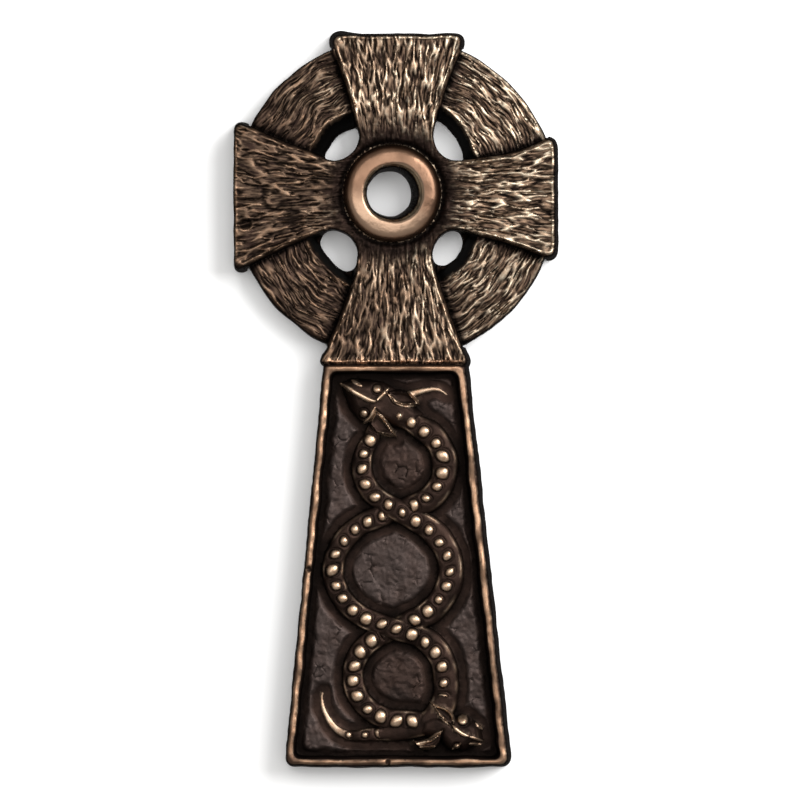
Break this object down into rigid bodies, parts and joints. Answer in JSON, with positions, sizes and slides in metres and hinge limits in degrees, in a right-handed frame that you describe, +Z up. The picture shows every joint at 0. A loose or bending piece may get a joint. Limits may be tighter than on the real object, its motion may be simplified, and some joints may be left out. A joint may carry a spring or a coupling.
{
  "type": "ringed cross wall plaque",
  "caption": "Cast bronze ringed cross wall plaque: flared bark-textured arms, a pierced ring, a round boss with a hole, and a tapered shaft whose sunk panel holds entwined serpents.",
  "frame": {"origin": "mouth of the hanging hole in the flat back of the upper arm", "axes": "+Z up along the cross, +X to the right seen from the front, +Y out of the flat back towards the wall, so the relief faces -Y"},
  "size_m": [0.0976, 0.0148, 0.2206],
  "materials": {
    "bronze": "dark brown patina rubbed bright on the high places"
  },
  "bodies": {
    "root": {"ringed_cross": "bronze"}
  },
  "joints": []
}
